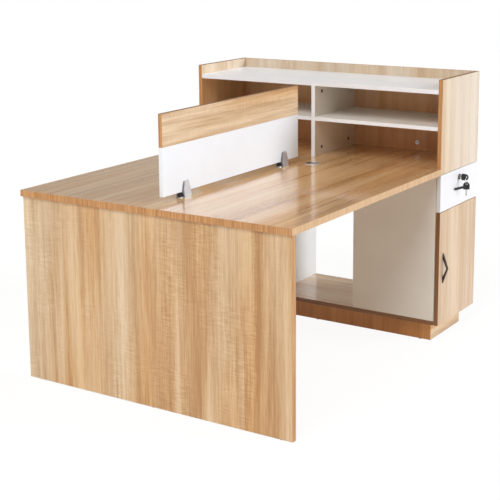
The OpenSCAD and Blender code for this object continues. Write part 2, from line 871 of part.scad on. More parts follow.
module lock_housing(s) side(s) color(black) translate([0, y_mid, lock_z]) {
    bore_d = plug_d + 2 * plug_play;
    rim = 0.8;
    difference() {
        union() {
            translate([housing_x0, 0, 0]) rod_x(lock_d, half_w - housing_x0);
            translate([half_w, 0, 0]) rod_x(escutcheon_d, escutcheon_t - rim);
            translate([half_w + escutcheon_t - rim, 0, 0]) rod_x(escutcheon_d - 2 * rim, rim);
            translate([front_in_x - nut_t, 0, 0]) rotate([0, 90, 0]) cylinder(d = nut_d, h = nut_t, $fn = 6);
        }
        translate([housing_x0 - cut, 0, 0]) rod_x(bore_d, face_x - housing_x0 + 2 * cut);
    }
}

module lock_plug(s) side(s) color(steel) translate([0, y_mid, lock_z]) {
    difference() {
        translate([cam_x1, 0, 0]) rod_x(plug_d, plug_x1 - cam_x1);
        translate([plug_x1 - keyway_l, -keyway_w / 2, -keyway_h / 2])
            cube([keyway_l + cut, keyway_w, keyway_h]);
    }
    tip_r = cam_blade_w / 2;
    translate([cam_x0, 0, 0]) {
        rod_x(plug_d, cam_blade_t);
        translate([0, 0, -cam_blade_w / 2]) cube([cam_blade_t, cam_reach - tip_r, cam_blade_w]);
        translate([0, cam_reach - tip_r, 0]) rod_x(cam_blade_w, cam_blade_t);
    }
}

// A key drawn in X and Z: blade tip at -X, round end of the bow at +X, bow starts at x = 0
module key_shape() {
    round_r = bow_w / 2;
    chamfer = 3;
    along_y(bow_t) difference() {
        union() {
            polygon([[0, -bow_w / 2 + chamfer], [chamfer, -bow_w / 2], [bow_l - round_r, -bow_w / 2],
                [bow_l - round_r, bow_w / 2], [chamfer, bow_w / 2], [0, bow_w / 2 - chamfer]]);
            translate([bow_l - round_r, 0]) circle(r = round_r);
        }
        translate([bow_l - bow_end, 0]) rotate(90) slot_outline(bow_slot_l, bow_slot_w);
    }
    tip = blade_w / 2;
    cuts = len(key_cuts);
    edge = concat(
        [for (i = [0 : cuts - 1])
            let (x = tip - blade_l + (i + 0.5) * key_cut_pitch, low = blade_w / 2 - key_cuts[i])
            each [[x - key_cut_pitch / 2, blade_w / 2], [x - key_cut_flat / 2, low],
                [x + key_cut_flat / 2, low]]],
        [[tip - blade_l + cuts * key_cut_pitch, blade_w / 2]]);
    along_y(blade_t) polygon(concat(
        [[cut, -blade_w / 2], [cut, blade_w / 2]],
        [for (i = [len(edge) - 1 : -1 : 0]) edge[i]],
        [[-blade_l, 0]],
        [for (p = edge) [p.x, -p.y]]));
}

module key(s) side(s) color(black) {
    translate([bow_x0, y_mid, lock_z]) key_shape();
}

module key_ring(s) side(s) color(steel) {
    translate([slot_x, y_mid, ring_mid_z]) rotate([0, 90, 0])
        rotate_extrude() translate([ring_r, 0]) circle(d = wire_d, $fn = 24);
}

// The black tag: an eye on the ring and a flat bar that leans towards the drawer front
module key_tag() {
    neck_w = 6;
    neck_top = -(tag_eye_d + tag_hole_d) / 4;
    bar_top = -tag_eye_d / 2 - tag_neck;
    translate([slot_x, y_mid + tag_eye_y, tag_eye_z - ring_play]) {
        difference() {
            rotate([90, 0, 0]) cylinder(d = tag_eye_d, h = tag_t, center = true);
            rotate([90, 0, 0]) cylinder(d = tag_hole_d, h = tag_t + 2 * cut, center = true);
        }
        translate([-neck_w / 2, -tag_t / 2, bar_top - neck_w / 2])
            cube([neck_w, tag_t, neck_top - bar_top + neck_w / 2]);
        translate([0, 0, bar_top - tag_h / 2]) rotate([0, 0, -90 - tag_lean]) rotate([0, tag_tilt, 0]) {
            translate([0, -tag_t / 2, -tag_h / 2]) cube([tag_l - tag_h / 2, tag_t, tag_h]);
            translate([tag_l - tag_h / 2, 0, 0]) rotate([90, 0, 0])
                cylinder(d = tag_h, h = tag_t, center = true);
        }
    }
}

module spare_key(s) side(s) color(black) {
    translate([slot_x, y_mid, spare_top_z - bow_l]) rotate([0, 0, spare_turn])
        rotate([0, -90, 0]) key_shape();
    key_tag();
}

module door(s) side(s) color(wood) {
    difference() {
        board([front_in_x, door_y0, door_z0], [half_w, door_y1, door_z1]);
        for (z = hinge_zs) translate([front_in_x - cut, cup_y, z]) rod_x(cup_d, cup_depth + cut);
    }
}

// A bent bar with a long flat foot at each end, drawn in X and Z from the door's face
module handle(s) side(s) color(black) {
    half = handle_l / 2;
    foot_z = half - handle_foot;
    foot_x = 3;
    foot_end = 2;
    tip = 1.5;
    translate([half_w, y_cab + handle_edge, door_mid_z]) along_y(handle_w) polygon([
        [0, half], [tip, half], [handle_out, tip], [handle_out, -tip], [tip, -half], [0, -half],
        [0, -foot_z - foot_end], [foot_x, -foot_z], [handle_out - handle_bar, 0],
        [foot_x, foot_z], [0, foot_z + foot_end]]);
}

module hinge_cups(s) side(s) color(steel) {
    wing = 20;
    wing_w = 14;
    screw_z = wing + 2;
    screw_d = 4;
    rim_d = cup_d + 3;
    pin_l = 22;
    for (z = hinge_zs) translate([front_in_x, cup_y, z]) difference() {
        union() {
            rod_x(cup_d, cup_depth);
            translate([-cup_flange_t, 0, 0]) {
                rod_x(rim_d, cup_flange_t);
                translate([0, -wing_w / 2, -wing]) cube([cup_flange_t, wing_w, 2 * wing]);
                for (e = [-1, 1]) translate([0, 0, e * wing]) rod_x(wing_w, cup_flange_t);
            }
        }
        translate([-cup_flange_t - cut, 0, 0])
            rod_x(cup_d - 2 * cup_wall, cup_depth + cup_flange_t + cut - cup_wall);
        for (e = [-1, 1]) translate([-cup_flange_t - cut, 0, e * screw_z])
            rod_x(screw_d, cup_flange_t + 2 * cut);
    }
    for (z = hinge_zs) translate([cup_pin_x, cup_pin_y, z])
        cylinder(d = hinge_pin_d, h = pin_l, center = true);
}

// The arched link between the arm's pin, at the origin, and the cup's pin on +X
module link_outline() {
    arc_r = (link_l * link_l / 4 + link_bulge * link_bulge) / (2 * link_bulge);
    difference() {
        union() {
            intersection() {
                translate([link_l / 2, arc_r - link_bulge]) difference() {
                    circle(r = arc_r + link_w / 2);
                    circle(r = arc_r - link_w / 2);
                }
                translate([-link_l, -2 * link_l]) square([3 * link_l, 2 * link_l]);
            }
            for (x = [0, link_l]) translate([x, 0]) circle(r = link_eye_r);
        }
        for (x = [0, link_l]) translate([x, 0]) circle(r = hinge_pin_d / 2 + pin_play);
    }
}

module hinge_links(s) side(s) color(steel) {
    for (z = hinge_zs) translate([arm_pin_x, arm_pin_y, z - link_h / 2])
        rotate([0, 0, link_angle]) linear_extrude(link_h) link_outline();
}

// Arm and mounting plate of a concealed hinge, on the inner face of the back panel.
// The arm is a channel whose two ears hold the link's pin.
module hinge_arm() {
    plate_back = 37;
    plate_x = carcass_x - plate_back;
    plate_w = 26;
    plate_h = 52;
    hole_z = 16;
    hole_d = 4.5;
    arm_t = 1.5;
    tail_h = 6;
    body_h = 8;
    ear_in = link_h / 2 + ear_gap;
    ear_out = ear_in + ear_t;
    tail_x = plate_x - plate_w / 2;
    body_shift = 8;
    body_x = plate_x + body_shift;
    knee_back = 13;
    knee_x = arm_pin_x - knee_back;
    web_back = 6;
    web_x = arm_pin_x - web_back;
    heel_run = 8;
    heel_x = knee_x - heel_run;
    heel_gap = 1;
    low_y = arm_pin_y - link_eye_r;
    seat_y = wall_far - plate_t;
    tail_y = seat_y - tail_h;
    body_y = seat_y - body_h;
    difference() {
        translate([tail_x, seat_y, -plate_h / 2]) cube([plate_w, plate_t, plate_h]);
        for (e = [-1, 1]) translate([plate_x, seat_y - cut, e * hole_z])
            rod_y(hole_d, plate_t + 2 * cut);
    }
    for (z = [-ear_out, ear_in]) translate([0, 0, z]) linear_extrude(ear_t) {
        translate([arm_pin_x, arm_pin_y]) circle(r = link_eye_r);
        polygon([
            [arm_pin_x, arm_pin_y + link_eye_r], [knee_x, seat_y - heel_gap], [heel_x, seat_y],
            [tail_x, seat_y], [tail_x, tail_y], [body_x, body_y], [knee_x, low_y],
            [arm_pin_x, low_y]]);
    }
    translate([0, 0, -ear_in]) linear_extrude(2 * ear_in) polygon([
        [tail_x, tail_y], [body_x, body_y], [knee_x, low_y], [web_x, low_y],
        [web_x, low_y + arm_t], [knee_x, low_y + arm_t], [body_x, body_y + arm_t],
        [tail_x, tail_y + arm_t]]);
    translate([arm_pin_x, arm_pin_y, 0]) cylinder(d = hinge_pin_d, h = 2 * ear_out, center = true);
}

module hinge_arms() color(steel) {
    both_sides() for (z = hinge_zs) translate([0, 0, z]) hinge_arm();
}

worktop();
end_panel();
centre_rail();
bay_rail();
angle_brackets();
hutch_sides();
hutch_back();
top_shelf();
hutch_divider();
mid_shelves();
connector_cams();
cam_caps();
screen_lower();
screen_upper();
screen_dowels();
screen_clips();
clip_screws();
grommet_rings();
grommet_cap(1);  // grommet_cap_right
grommet_cap(-1);  // grommet_cap_left
plinth_boards();
glides();
bottom_board();
pedestal_fronts();
pedestal_inner_sides();
pedestal_backs();
drawer_decks();
lock_rails();
cupboard_shelves();
shelf_pins();
runner_cabinet_members();
hinge_arms();
drawer_front(1);  // drawer_front_right
drawer_front(-1);  // drawer_front_left
drawer_box(1);  // drawer_box_right
drawer_box(-1);  // drawer_box_left
drawer_bottom(1);  // drawer_bottom_right
drawer_bottom(-1);  // drawer_bottom_left
runner_middle(1);  // runner_middle_right
runner_middle(-1);  // runner_middle_left
runner_inner(1);  // runner_inner_right
runner_inner(-1);  // runner_inner_left
lock_housing(1);  // lock_housing_right
lock_housing(-1);  // lock_housing_left
lock_plug(1);  // lock_plug_right
lock_plug(-1);  // lock_plug_left
key(1);  // key_right
key(-1);  // key_left
key_ring(1);  // key_ring_right
key_ring(-1);  // key_ring_left
spare_key(1);  // spare_key_right
spare_key(-1);  // spare_key_left
door(1);  // door_right
door(-1);  // door_left
handle(1);  // handle_right
handle(-1);  // handle_left
hinge_cups(1);  // hinge_cups_right
hinge_cups(-1);  // hinge_cups_left
hinge_links(1);  // hinge_links_right
hinge_links(-1);  // hinge_links_left
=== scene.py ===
import json
import math

import bpy
from mathutils import Matrix, Vector


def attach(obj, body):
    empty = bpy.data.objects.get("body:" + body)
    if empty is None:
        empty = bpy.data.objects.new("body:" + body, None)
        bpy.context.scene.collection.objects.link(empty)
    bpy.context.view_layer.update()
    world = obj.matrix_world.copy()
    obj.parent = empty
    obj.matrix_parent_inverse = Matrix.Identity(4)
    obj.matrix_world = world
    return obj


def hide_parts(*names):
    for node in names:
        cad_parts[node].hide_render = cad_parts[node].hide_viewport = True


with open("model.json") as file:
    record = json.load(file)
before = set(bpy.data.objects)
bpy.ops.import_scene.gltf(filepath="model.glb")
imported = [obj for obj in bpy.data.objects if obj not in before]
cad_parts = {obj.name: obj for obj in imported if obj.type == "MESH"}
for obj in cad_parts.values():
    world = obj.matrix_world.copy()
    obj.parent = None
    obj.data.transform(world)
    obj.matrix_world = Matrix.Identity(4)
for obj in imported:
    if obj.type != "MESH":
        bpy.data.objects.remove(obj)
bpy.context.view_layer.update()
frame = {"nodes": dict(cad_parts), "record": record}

MM = 0.001
BODY_OF = {node: body for body, nodes in frame["record"]["behaviour"]["bodies"].items() for node in nodes}
SIDES = {"right": 1, "left": -1}


# Colours and shader arithmetic

def screen_colour(red, green, blue):
    """A colour given by its 0 to 255 screen numbers, as the shaders take it."""
    def level(value):
        share = value / 255
        return share / 12.92 if share <= 0.04045 else ((share + 0.055) / 1.055) ** 2.4
    return (level(red), level(green), level(blue), 1.0)


class Signal:
    """A value running through a finish. Arithmetic on it adds the Math nodes."""

    def __init__(self, finish, socket):
        self.finish = finish
        self.socket = socket

    def math(self, operation, first, second, clamp=False):
        settings = {"operation": operation, "use_clamp": clamp}
        return self.finish.node("ShaderNodeMath", settings, {0: first, 1: second})

    def __add__(self, other):
        return self.math("ADD", self, other)

    def __radd__(self, other):
        return self.math("ADD", other, self)

    def __sub__(self, other):
        return self.math("SUBTRACT", self, other)

    def __rsub__(self, other):
        return self.math("SUBTRACT", other, self)

    def __mul__(self, other):
        return self.math("MULTIPLY", self, other)

    def __rmul__(self, other):
        return self.math("MULTIPLY", other, self)

    def clamped(self):
        return self.math("ADD", self, 0.0, clamp=True)

    def swing(self, weight):
        """How far the value is from its middle, times a weight."""
        return (self - 0.5) * weight

    def patch(self, start, rise):
        """0 below the start, then rising to 1."""
        return ((self - start) * rise).clamped()


class Finish:
    """The nodes of a material or of the sky, around the shader that it starts with."""

    def __init__(self, owner, shader="Principled BSDF", **constants):
        owner.use_nodes = True
        self.owner = owner
        self.tree = owner.node_tree
        self.shader = self.tree.nodes[shader]
        for socket, value in constants.items():
            self.shader.inputs[socket.replace("_", " ")].default_value = value

    def node(self, kind, settings, inputs, out=0):
        """A new node: its settings first, then the values or links of its sockets."""
        made = self.tree.nodes.new(kind)
        for name, value in settings.items():
            if name == "stops":
                for spare in range(len(value) - 2):
                    made.color_ramp.elements.new(0.5)
                for element, (position, colour) in zip(made.color_ramp.elements, value):
                    element.position = position
                    element.color = colour
            else:
                setattr(made, name, value)
        for socket, value in inputs.items():
            if isinstance(value, Signal):
                self.tree.links.new(value.socket, made.inputs[socket])
            else:
                made.inputs[socket].default_value = value
        return Signal(self, made.outputs[out])

    def point(self, turn=(0, 0, 0), shift=(0, 0, 0)):
        """The place on the piece, turned so that the pattern's length runs along X."""
        place = self.node("ShaderNodeTexCoord", {}, {}, "Object")
        return self.node("ShaderNodeMapping", {}, {"Vector": place, "Rotation": turn, "Location": shift})

    def grain(self, point, along, across, detail=2.0, roughness=0.5, distortion=0.0):
        """Noise with so many waves to the metre along the grain and across it."""
        stretched = self.node("ShaderNodeVectorMath", {"operation": "MULTIPLY"}, {
            0: point, 1: (along, across, across)})
        return self.node("ShaderNodeTexNoise", {}, {
            "Vector": stretched, "Scale": 1.0, "Detail": detail, "Roughness": roughness,
            "Distortion": distortion}, "Fac")

    def clouds(self, point, waves, detail=2.0):
        """Noise with so many waves to the metre every way."""
        return self.grain(point, waves, waves, detail)

    def ramp(self, value, stops):
        return self.node("ShaderNodeValToRGB", {"stops": stops}, {"Fac": value}, "Color")

    def mix(self, share, first, second):
        return self.node("ShaderNodeMix", {"data_type": "RGBA"}, {0: share, 6: first, 7: second}, 2)

    def ray(self, kind):
        """1 for the rays of that kind, 0 for the others."""
        return self.node("ShaderNodeLightPath", {}, {}, "Is %s Ray" % kind)

    def feed(self, socket, value):
        self.tree.links.new(value.socket, self.shader.inputs[socket])

    def relief(self, height, strength, depth):
        """Feeds a bump of that depth, in metres, to the shader."""
        bump = {"Height": height, "Strength": strength, "Distance": depth}
        self.feed("Normal", self.node("ShaderNodeBump", {}, bump, "Normal"))

    def show_mixed(self, share, other):
        """Shows the other shader in place of the finish's own where the share is 1."""
        own = Signal(self, self.shader.outputs[0])
        mixed = self.node("ShaderNodeMixShader", {}, {0: share, 1: own, 2: other})
        output = next(node for node in self.tree.nodes if node.type.startswith("OUTPUT"))
        self.tree.links.new(mixed.socket, output.inputs["Surface"])


def surface(name, **constants):
    return Finish(bpy.data.materials.new(name), **constants)


# Wood decors and edge bands: four shades each, from dark to light

GRAIN_TURN = {
    "x": (0, 0, 0),
    "y": (0, 0, -math.pi / 2),
    "z": (0, math.pi / 2, 0),
}
SHADE_STOPS = (0.2, 0.42, 0.58, 0.8)
GOLD_OAK = ((175, 125, 73), (197, 151, 99), (211, 171, 121), (222, 188, 143))
GREY_OAK = ((181, 146, 107), (199, 169, 132), (211, 184, 149), (228, 207, 177))
GOLD_TOP = ((186, 134, 78), (210, 160, 104), (224, 179, 126), (235, 200, 153))
GREY_TOP = ((194, 149, 98), (213, 172, 124), (226, 190, 145), (239, 213, 176))
GOLD_SCREEN = ((182, 135, 84), (205, 161, 110), (219, 180, 131), (231, 199, 154))
GREY_SCREEN = ((188, 155, 118), (206, 178, 142), (219, 194, 161), (238, 220, 193))
# Warmer, more saturated copy of the oak decor: painted warm shade for the faces inside the shelf unit's
# compartments
GOLD_PAINTED_SHADE = ((208, 152, 100), (222, 167, 115), (230, 177, 126), (236, 191, 146))
GREY_PAINTED_SHADE = ((212, 163, 120), (224, 177, 136), (231, 187, 147), (238, 202, 168))
# Darker, warmer copy of the oak decor: painted shade for the plinth's front under the worktop
GOLD_PLINTH_PAINTED_SHADE = ((168, 108, 50), (183, 122, 61), (194, 133, 70), (206, 149, 84))
# Lighter copy of the oak decor: painted reflection of the white glare on the bottom board, besides its real
# coat
GOLD_FLOOR_PAINTED_REFLECTION = ((206, 164, 120), (219, 181, 138), (229, 196, 157), (238, 213, 183))
# Paler, greyer copy of the oak decor: painted light for the brightly lit outer sides of the shelf unit and
# its back above the top shelf
GOLD_PAINTED_LIGHT = ((201, 171, 137), (211, 186, 154), (219, 198, 169), (226, 209, 184))
GREY_PAINTED_LIGHT = ((203, 180, 154), (213, 194, 171), (220, 204, 185), (228, 215, 199))
# Paler copy of the oak decor: painted light for the brightly lit door faces
GOLD_DOOR_PAINTED_LIGHT = ((186, 149, 110), (197, 165, 129), (207, 178, 143), (217, 192, 161))
GREY_DOOR_PAINTED_LIGHT = ((191, 162, 131), (202, 177, 149), (211, 189, 163), (221, 203, 182))
BAND = ((166, 112, 62), (184, 130, 76), (198, 146, 92), (210, 160, 108))
# Dark copy of the edge band: painted shade on the edges under the worktop and a painted dark reflection on
# the top edges
BAND_SHADE_AND_DARK_REFLECTION = ((107, 66, 29), (121, 77, 36), (133, 88, 43), (147, 102, 54))
BAND_LIGHT = ((189, 148, 103), (201, 163, 119), (211, 175, 133), (220, 188, 148))


def tones(shades):
    return tuple(zip(SHADE_STOPS, (screen_colour(*shade) for shade in shades)))


def wood_decor(name, grain, gold, grey, seed, gloss=0.38, greyness=0.5, coat=0.0, wave=1.0, streaky=1.0):
    """Printed oak decor: gold and grey zones, bands, pale streaks and fibres along the grain, and ripples
    across it."""
    finish = surface(name, Metallic=0.0, IOR=1.5, Coat_Weight=coat, Coat_Roughness=0.1)
    point = finish.point(GRAIN_TURN[grain], (seed, seed * 0.37, seed * 0.71))
    zones = finish.grain(point, 0.35, 5, detail=1.5, distortion=0.5)
    bands = finish.grain(point, 0.5, 11, distortion=0.6)
    streaks = finish.grain(point, 1.2, 46, detail=3.0, roughness=0.6, distortion=0.4)
    lines = finish.grain(point, 2.4, 125, roughness=0.6, distortion=0.3)
    fibres = finish.grain(point, 11, 430, detail=3.0, roughness=0.65)
    sheen = finish.grain(point, 0.9, 24, distortion=0.5)
    patches = finish.grain(point, 3, 8, detail=1.5)
    ripples = finish.grain(point, 210, 30, detail=1.0, distortion=0.3)
    figure = (ripples - 0.5) * patches.patch(0.42, 4)
    tone = (0.5 + bands.swing(1.1) + streaks.swing(0.75 * streaky) + lines.swing(0.45 * streaky)
        + fibres.swing(0.8) + figure * (0.5 * wave))
    warm = finish.ramp(tone, tones(gold))
    cool = finish.ramp(tone, tones(grey))
    colour = finish.mix((zones.swing(4) + greyness).clamped(), warm, cool)
    pale = sheen.patch(0.55, 7) * (0.75 + ripples.swing(wave))
    colour = finish.mix(pale * (0.6 * streaky), colour, screen_colour(*grey[-1]))
    pores = fibres.patch(0.58, 6) * streaks.patch(0.42, 4)
    finish.feed("Base Color", finish.mix(pores * 0.25, colour, screen_colour(*gold[0])))
    finish.feed("Roughness", gloss + fibres.swing(0.12) + patches.swing(0.05))
    finish.relief(fibres * 0.7 + ripples * 0.3, 0.15, 0.1 * MM)
    return finish.owner


def edge_band(name, grain, shades, seed):
    """Plastic edge band printed as wood, with fine lines along its grain."""
    finish = surface(name, Metallic=0.0, IOR=1.5)
    point = finish.point(GRAIN_TURN[grain], (seed, seed * 0.5, seed * 0.2))
    lines = finish.grain(point, 4, 330, roughness=0.6)
    bands = finish.grain(point, 2, 180)
    tone = 0.5 + lines.swing(1.3) + bands.swing(1.0)
    finish.feed("Base Color", finish.ramp(tone, tones(shades)))
    finish.feed("Roughness", 0.4 + lines.swing(0.2))
    finish.relief(lines, 0.15, 0.1 * MM)
    return finish.owner


BAND_X = edge_band("edge_band_x", "x", BAND, 2.0)
BAND_Y = edge_band("edge_band_y", "y", BAND_LIGHT, 3.0)
BAND_Z = edge_band("edge_band_z", "z", BAND, 4.0)
LIGHT_Z = edge_band("light_edge_band_z", "z", BAND_LIGHT, 8.0)
# Painted shade on the edges in the worktop's shade, and a painted dark reflection on the top edges
SHADED_BAND_X = edge_band("edge_band_painted_shade_x", "x", BAND_SHADE_AND_DARK_REFLECTION, 5.0)
DARK_REFLECTION_BAND_Y = edge_band("edge_band_painted_dark_reflection_y", "y", BAND_SHADE_AND_DARK_REFLECTION, 6.0)
SHADED_BAND_Z = edge_band("edge_band_painted_shade_z", "z", BAND_SHADE_AND_DARK_REFLECTION, 7.0)


# White decors, metals and plastics

def plain_decor(name, light, shade, gloss, seed=0.0):
    """Plain melamine: two close tones in soft clouds under a fine pearl grain."""
    finish = surface(name, Metallic=0.0, IOR=1.49)
    point = finish.point(shift=(seed, seed, seed))
    clouds = finish.clouds(point, 6)
    pearl = finish.clouds(point, 620, 1.5)
    share = ((clouds - 0.35) * 2.2 + pearl.swing(0.5)).clamped()
    finish.feed("Base Color", finish.mix(share, screen_colour(*shade), screen_colour(*light)))
    finish.feed("Roughness", gloss + pearl.swing(0.12) + clouds.swing(0.05))
    finish.relief(pearl, 0.12, 0.08 * MM)
    return finish.owner


def metal(name, light, shade, gloss, lines, grain="x", share_of_metal=1.0):
    """Metal with drawn lines along its grain and a slow change of tone."""
    finish = surface(name, Metallic=share_of_metal)
    point = finish.point(GRAIN_TURN[grain])
    drawn = finish.grain(point, 18, 900, roughness=0.6)
    clouds = finish.clouds(point, 35)
    share = ((clouds - 0.3) * 2 + drawn.swing(lines * 4)).clamped()
    finish.feed("Base Color", finish.mix(share, screen_colour(*shade), screen_colour(*light)))
    finish.feed("Roughness", gloss + drawn.swing(lines) + clouds.swing(0.08))
    finish.relief(drawn, lines * 0.6, 0.05 * MM)
    return finish.owner


def moulding(name, light, shade, gloss, relief=0.1):
    """Moulded or coated surface: a fine texture with slightly uneven gloss."""
    finish = surface(name, Metallic=0.0, IOR=1.5)
    point = finish.point()
    texture = finish.clouds(point, 1500)
    clouds = finish.clouds(point, 60)
    finish.feed("Base Color", finish.mix(clouds, screen_colour(*shade), screen_colour(*light)))
    finish.feed("Roughness", gloss + texture.swing(0.2) + clouds.swing(0.1))
    finish.relief(texture, relief, 0.1 * MM)
    return finish.owner


def beech(name):
    """Turned beech with short flecks along its length."""
    finish = surface(name, Metallic=0.0, Roughness=0.6)
    flecks = finish.grain(finish.point(GRAIN_TURN["z"]), 220, 900)
    colour = finish.mix(flecks, screen_colour(190, 146, 100), screen_colour(224, 186, 140))
    finish.feed("Base Color", colour)
    finish.relief(flecks, 0.2, 0.2 * MM)
    return finish.owner


WHITE = plain_decor("white_decor", (238, 238, 240), (232, 232, 235), 0.36)
# Cool copy of the white decor: painted cool to cancel the warm light bounced onto the screen from the
# worktop
SCREEN_WHITE_PAINTED_COOL = plain_decor("screen_white_painted_against_warm_bounce", (240, 247, 254), (236, 243, 251), 0.34, 4.0)
# Warm copy of the white decor: painted warm bounce light on the pedestal fronts in the worktop's shade
WHITE_PAINTED_WARM_BOUNCE = plain_decor("pedestal_white_painted_warm_bounce", (238, 234, 226), (233, 229, 220), 0.4, 2.0)
# Warm copy of the white decor: painted warm shade on the divider and mid shelves inside the compartments
SHELF_WHITE_PAINTED_WARM_SHADE = plain_decor("shelf_white_painted_warm_shade", (240, 235, 226), (234, 229, 220), 0.34, 6.0)
SIDE_WHITE = plain_decor("side_white_decor", (236, 236, 235), (229, 230, 228), 0.36, 7.0)
# Brighter copy of the white decor: painted light for the top shelf and the lit front edges of the shelves
WHITE_PAINTED_LIGHT = plain_decor("white_decor_painted_light", (247, 250, 255), (243, 247, 253), 0.3, 3.0)
FIBREBOARD = plain_decor("fibreboard", (226, 220, 208), (212, 204, 190), 0.6, 5.0)
ZINC = metal("zinc_steel", (196, 199, 206), (170, 172, 178), 0.34, 0.22)
NICKEL = metal("nickel_steel", (214, 210, 202), (196, 192, 186), 0.2, 0.08)
CAST = metal("cast_zinc", (226, 228, 233), (206, 208, 214), 0.38, 0.1, "z", 0.8)
# Darker copy of the cast zinc: painted shade on the clips' faces that look along y
CAST_FLANK_PAINTED_SHADE = metal("cast_zinc_flank_painted_shade", (158, 158, 163), (134, 134, 140), 0.3, 0.1, "z")
DARK_ZINC = metal("dark_zinc", (88, 78, 66), (62, 54, 45), 0.42, 0.1)
# Plated metal ring, only partly metallic: its diffuse near-white stands in for the ring's bright highlights
# as painted highlight
RING_PAINTED_HIGHLIGHT = metal("plated_ring_painted_highlight", (240, 241, 244), (226, 227, 231), 0.14, 0.03, "x", 0.6)
CHROME = metal("polished_chrome", (176, 174, 172), (154, 152, 150), 0.06, 0.02)
BALL_STEEL = metal("ball_steel", (214, 214, 216), (198, 198, 202), 0.12, 0.03)
BLACK_STEEL = moulding("black_steel", (36, 32, 30), (22, 20, 19), 0.42, 0.2)
BLACK_PLASTIC = moulding("black_plastic", (26, 26, 28), (15, 15, 17), 0.38)
# Grey for the caps' dimples: painted shade in the recess
DIMPLE_GREY_PAINTED_SHADE = moulding("painted_shade_in_dimples", (92, 88, 82), (74, 70, 66), 0.5)
BEECH = beech("beech")


# Modelling moves

EASED_ANGLE = math.radians(40)
ROUND_ANGLE = math.radians(35)
SCREW_ANGLE = math.radians(30)


def select_only(piece):
    bpy.ops.object.select_all(action="DESELECT")
    piece.select_set(True)
    bpy.context.view_layer.objects.active = piece


def pick_faces(piece, chosen):
    """Edit mode with only the faces selected that the test chooses."""
    select_only(piece)
    bpy.ops.object.mode_set(mode="EDIT")
    bpy.ops.mesh.select_mode(type="FACE")
    bpy.ops.mesh.select_all(action="DESELECT")
    bpy.ops.object.mode_set(mode="OBJECT")
    for face in piece.data.polygons:
        face.select = chosen(face)
    bpy.ops.object.mode_set(mode="EDIT")


def set_place():
    """Turns the place, turn and size of the selected pieces into their meshes."""
    bpy.ops.object.transform_apply(location=True, rotation=True, scale=True)


def node_copy(node):
    """A clean copy of a node's mesh, its triangles joined and its flat faces made whole."""
    piece = bpy.data.objects.new(node + "_finished", frame["nodes"][node].data.copy())
    bpy.context.scene.collection.objects.link(piece)
    piece.data.materials.clear()
    select_only(piece)
    bpy.ops.mesh.customdata_custom_splitnormals_clear()
    bpy.ops.object.mode_set(mode="EDIT")
    bpy.ops.mesh.select_all(action="SELECT")
    bpy.ops.mesh.remove_doubles(threshold=0.002 * MM)
    bpy.ops.mesh.dissolve_limited(angle_limit=math.radians(0.3))
    bpy.ops.object.mode_set(mode="OBJECT")
    return piece


def ease_edges(piece, radius, steps=3):
    """Rounds the sharp edges of a piece a little, and shades it smooth."""
    select_only(piece)
    bpy.ops.object.shade_smooth_by_angle(angle=EASED_ANGLE)
    bpy.ops.object.modifier_add(type="BEVEL")
    easing = piece.modifiers[-1]
    easing.width = radius
    easing.segments = steps
    easing.limit_method = "ANGLE"
    easing.angle_limit = EASED_ANGLE
    bpy.ops.object.modifier_apply(modifier=easing.name)
    bpy.ops.object.shade_smooth_by_angle(angle=EASED_ANGLE)
    bpy.ops.object.modifier_add(type="WEIGHTED_NORMAL")
    flat = piece.modifiers[-1]
    flat.keep_sharp = True
    bpy.ops.object.modifier_apply(modifier=flat.name)


def facing(face):
    """The axis that a face looks along: 0, 1 or 2."""
    sizes = [abs(part) for part in face.normal]
    return sizes.index(max(sizes))


def looks_up(face):
    return face.normal.z > 0.9


def looks_level(face):
    return abs(face.normal.z) < 0.5


def repaint(piece, material, chosen):
    """Gives another material to the faces that the test chooses."""
    piece.data.materials.append(material)
    spot = len(piece.data.materials) - 1
    for face in piece.data.polygons:
        if chosen(face):
            face.material_index = spot


def cover(piece, material, **edges):
    """Covers a piece, with other materials on the faces that look along x, y or z."""
    piece.data.materials.clear()
    piece.data.materials.append(material)
    for axis, other in edges.items():
        repaint(piece, other, lambda face: facing(face) == "xyz".index(axis))


def stand_in(piece, *nodes):
    """The piece takes the place of those nodes, on their body."""
    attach(piece, BODY_OF[nodes[0]])
    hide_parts(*nodes)


# Boards in wood decor

TOP_R = 1.5 * MM
BOARD_R = 1.0 * MM
THIN_R = 0.5 * MM


def finished_board(node, radius, material, **edges):
    piece = node_copy(node)
    ease_edges(piece, radius)
    cover(piece, material, **edges)
    stand_in(piece, node)


finished_board("worktop", TOP_R, wood_decor("worktop_decor", "y", GOLD_TOP, GREY_TOP, 1.0,
    gloss=0.2, greyness=0.4, coat=0.9, wave=0.4, streaky=0.8), x=LIGHT_Z, y=BAND_Z)
finished_board("end_panel", BOARD_R, wood_decor("end_panel_decor", "z", GOLD_OAK, GREY_OAK, 2.3,
    greyness=0.42, streaky=0.9), x=BAND_Z, z=BAND_X)
finished_board("centre_rail", BOARD_R, wood_decor("centre_rail_decor", "y", GOLD_OAK, GREY_OAK, 3.1),
    y=BAND_Z, z=BAND_Y)
finished_board("bay_rail", BOARD_R, wood_decor("bay_rail_decor", "x", GOLD_OAK, GREY_OAK, 4.7),
    x=BAND_Z, z=BAND_X)


# The shelf unit's sides and back: painted warm shade inside the compartments, painted light on the outer
# sides and on the back above the top shelf

SHELF_TOP = 1074 * MM
BACK_INSIDE = 765.5 * MM

# Painted light: the paler decor for the shelf unit's lit outer faces
pale_decor_painted_light = wood_decor("hutch_side_decor_painted_light", "z", GOLD_PAINTED_LIGHT, GREY_PAINTED_LIGHT, 5.2, wave=0.3, streaky=0.8)
